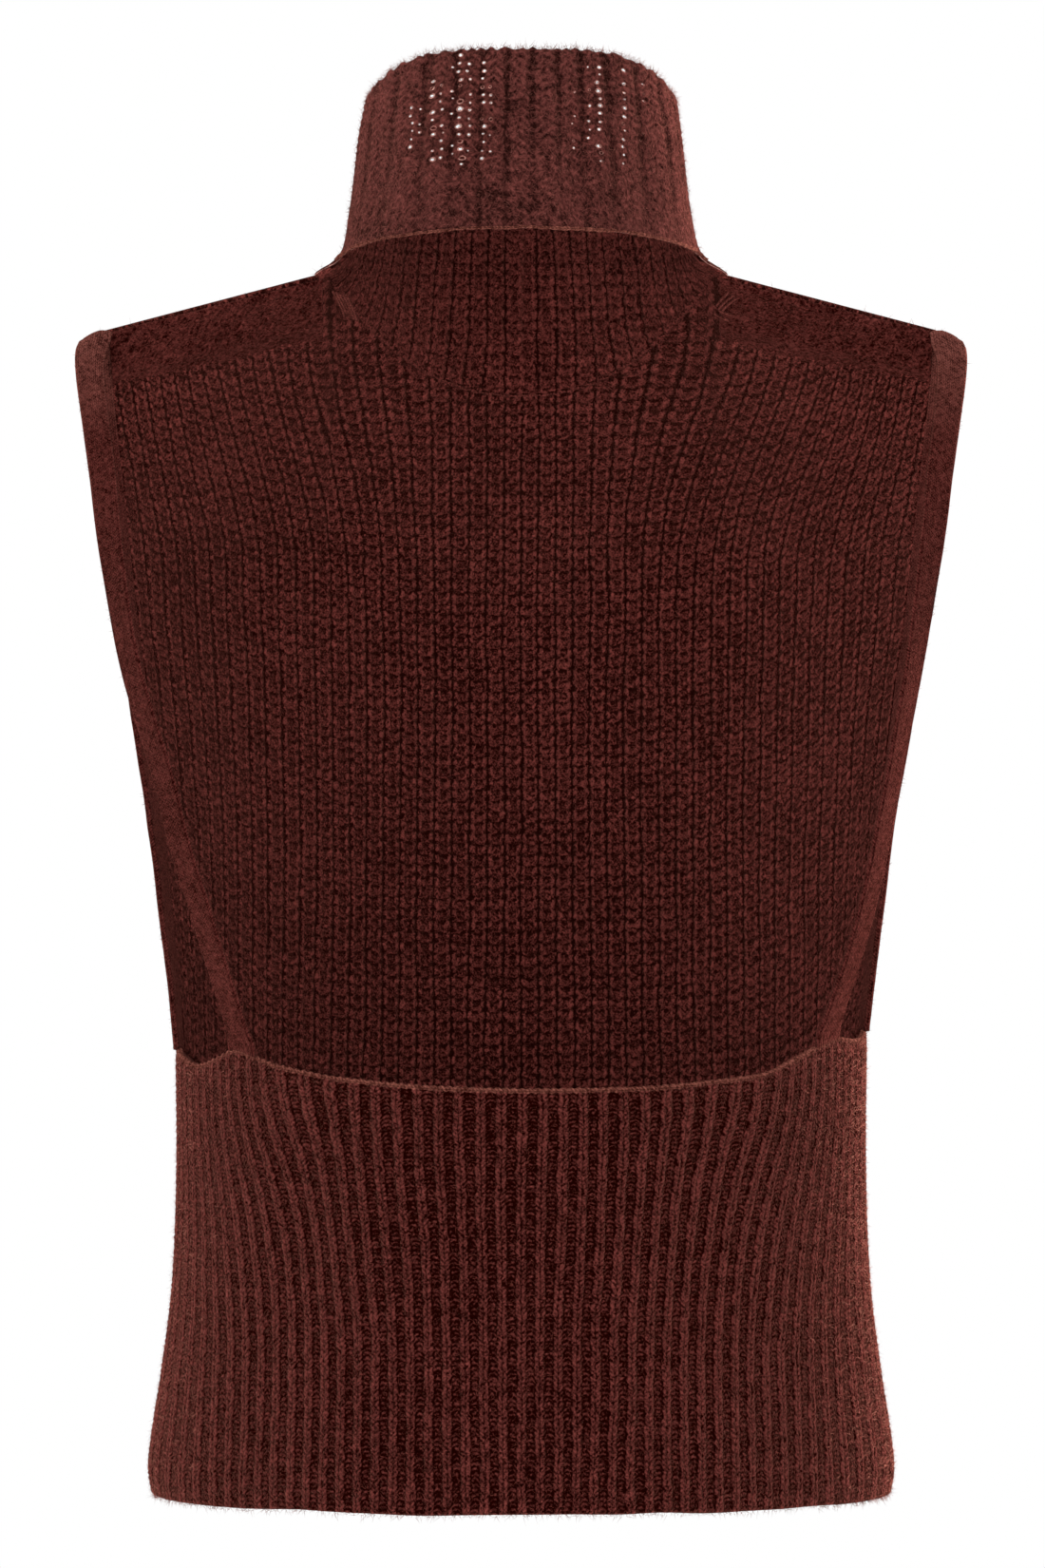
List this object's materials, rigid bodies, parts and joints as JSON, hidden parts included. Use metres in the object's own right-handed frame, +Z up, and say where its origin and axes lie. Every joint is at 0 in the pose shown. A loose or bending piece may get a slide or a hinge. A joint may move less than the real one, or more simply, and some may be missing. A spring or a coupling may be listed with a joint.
{
  "type": "backless funnel-neck knit top",
  "caption": "Sleeveless open-backed knit top with a high ribbed funnel collar, a deep ribbed waistband and slim armhole bands that run down the back as straps, filled out as when worn.",
  "frame": {"origin": "middle of the neck base, level with the sides of the neck, where the wearer's neck and shoulders hold the top", "axes": "+Z up, +Y the way the wearer faces, +X to the wearer's right"},
  "size_m": [0.3834, 0.2041, 0.6185],
  "materials": {
    "body_knit": "brushed half-cardigan knit in dark reddish brown wool blend",
    "rib_knit": "brushed one-by-one rib in dark reddish brown wool blend",
    "collar_knit": "loose brushed rib with open ladder columns",
    "band_knit": "fine plain knit, a little lighter"
  },
  "bodies": {
    "root": {"front_panel": "body_knit", "front_waistband": "rib_knit", "back_waistband": "rib_knit", "collar": "collar_knit", "shoulder_hem_left": "body_knit", "shoulder_hem_right": "body_knit", "armhole_band_left": "band_knit", "armhole_band_right": "band_knit"}
  },
  "joints": []
}
